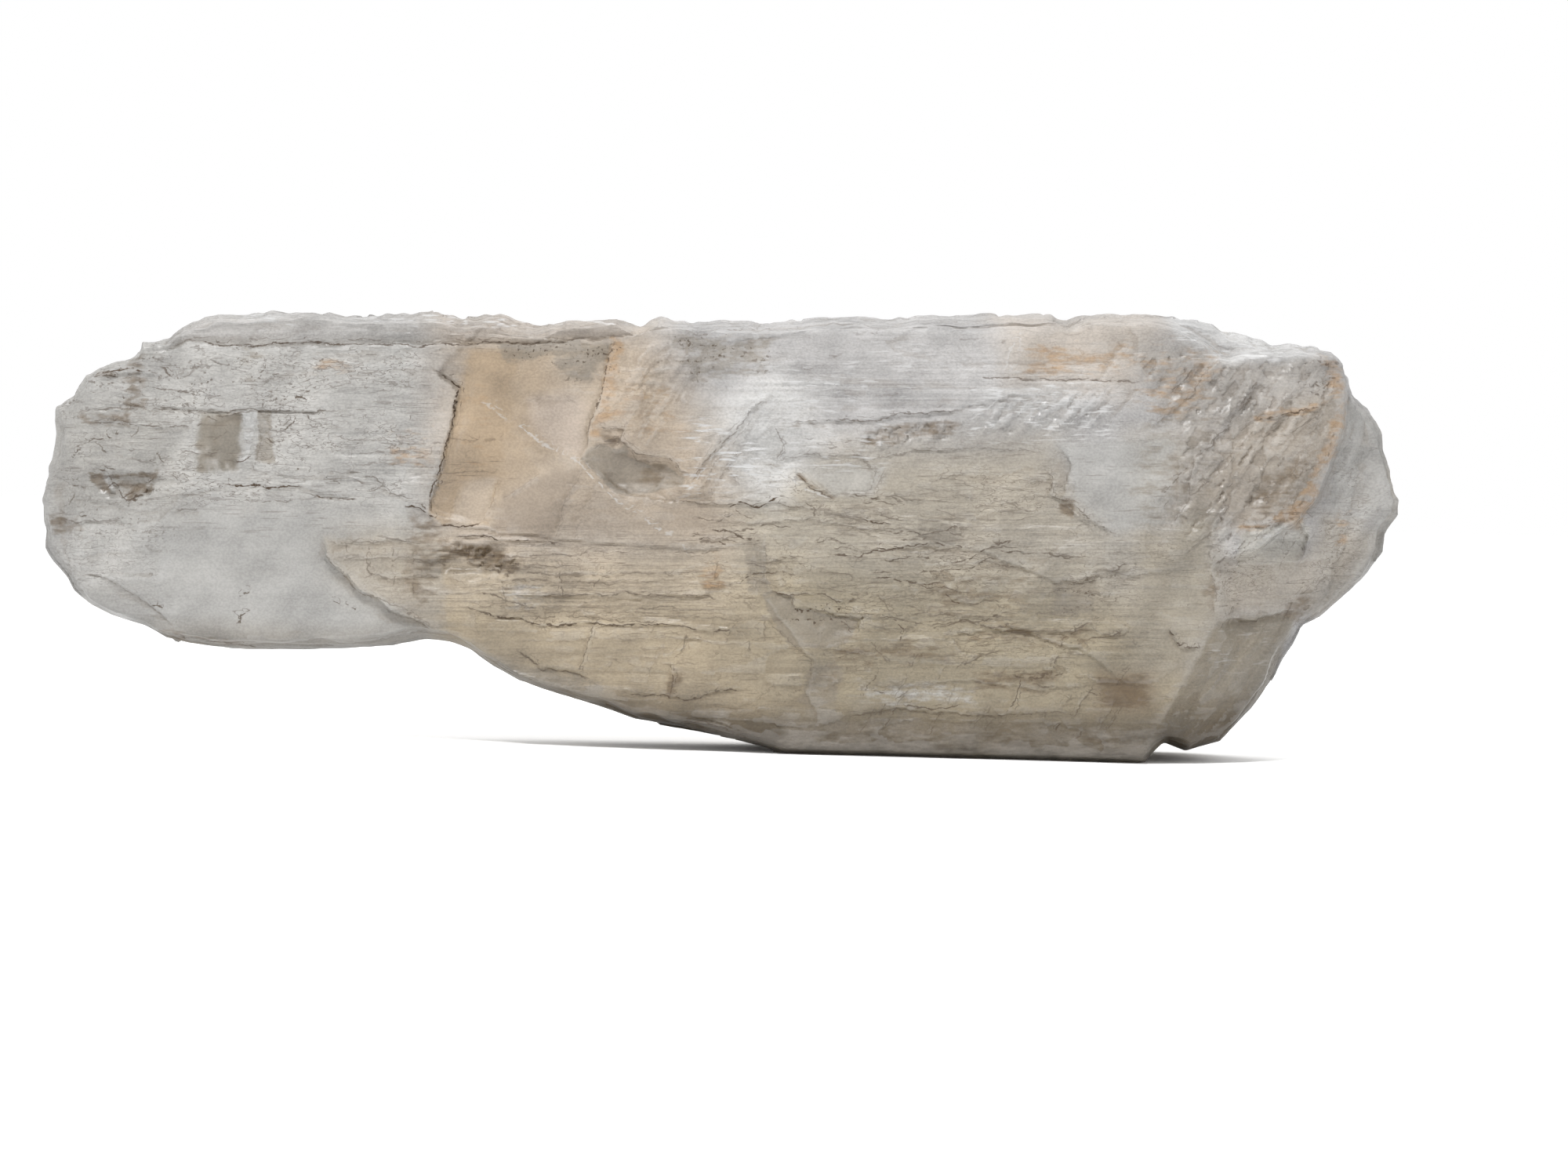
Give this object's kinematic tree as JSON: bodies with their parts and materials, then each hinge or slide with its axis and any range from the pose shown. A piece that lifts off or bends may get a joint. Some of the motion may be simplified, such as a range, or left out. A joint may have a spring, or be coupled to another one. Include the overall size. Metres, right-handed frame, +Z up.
{
  "type": "selenite crystal",
  "caption": "Long slab of milky, see-through selenite with stepped cleavage plates, a crumbled top edge and broken ends, resting on the flat of its lower edge.",
  "frame": {"origin": "on the ground, under the middle of the crystal's box", "axes": "+X along the crystal, towards its thick end; its broad front face looks along -Y; +Z up"},
  "size_m": [0.696, 0.1194, 0.229],
  "materials": {
    "selenite": "milky and translucent, silky on the cleavage, with tan and brown stains"
  },
  "bodies": {
    "root": {"selenite_crystal": "selenite"}
  },
  "joints": []
}
